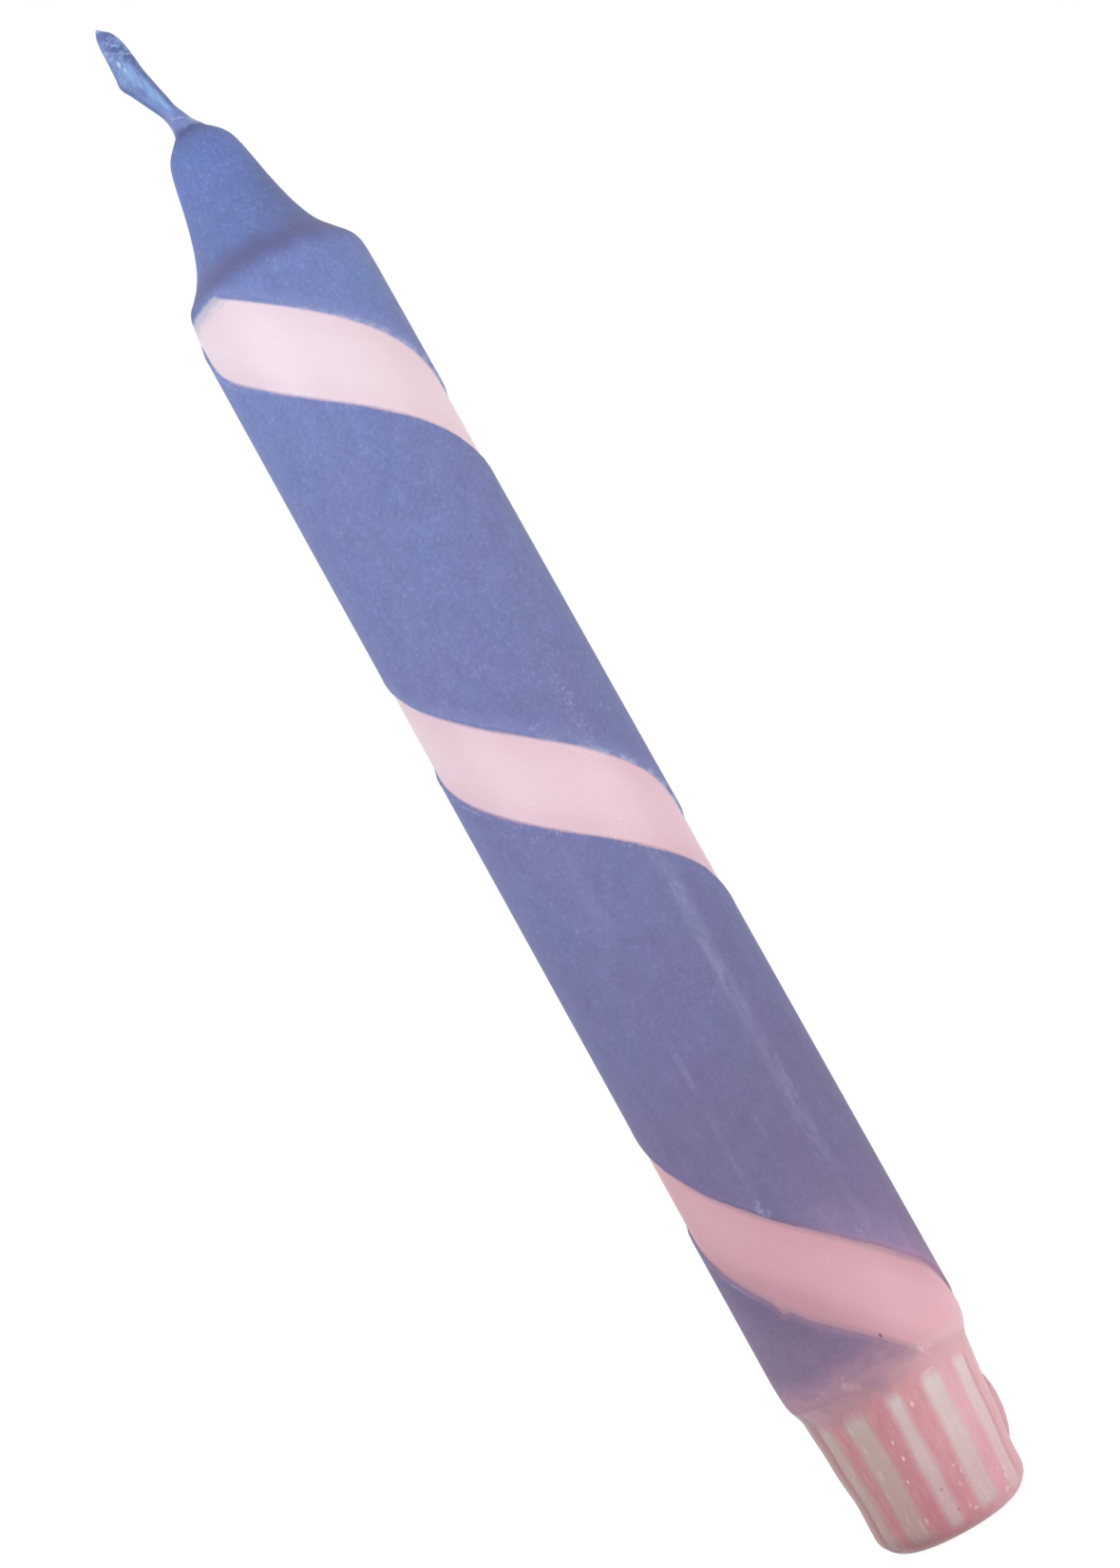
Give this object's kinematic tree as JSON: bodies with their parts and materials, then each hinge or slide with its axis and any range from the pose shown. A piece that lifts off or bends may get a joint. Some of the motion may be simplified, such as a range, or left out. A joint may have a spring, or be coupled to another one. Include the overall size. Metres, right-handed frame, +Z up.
{
  "type": "dinner candle",
  "caption": "Straight round dinner candle with a bell-shaped crown, a ribbed conical foot, a wax-coated wick, and a pink spiral stripe left open in its blue outer coat.",
  "frame": {"origin": "middle of the flat underside of the foot, on the candle's axis", "axes": "+Z up along the candle from foot to wick, -Y the shown side, +X to the shown side's right; the free wick leans to -X"},
  "size_m": [0.0234, 0.0234, 0.2045],
  "materials": {
    "wick_cotton": "braided cotton, waxed",
    "white_wax": "white paraffin wax, satin",
    "pink_wax": "pink dipped wax, satin",
    "blue_wax": "periwinkle blue dipped wax, matte with a fine bloom",
    "pale_blue_wax": "thin blue wax over the wick, glossy and crackled"
  },
  "bodies": {
    "root": {"wick": "wick_cotton", "core_candle": "white_wax", "pink_dip_coat": "pink_wax", "blue_dip_coat": "blue_wax", "wick_wax_coat": "pale_blue_wax", "foot_wax_run": "pink_wax"}
  },
  "joints": []
}
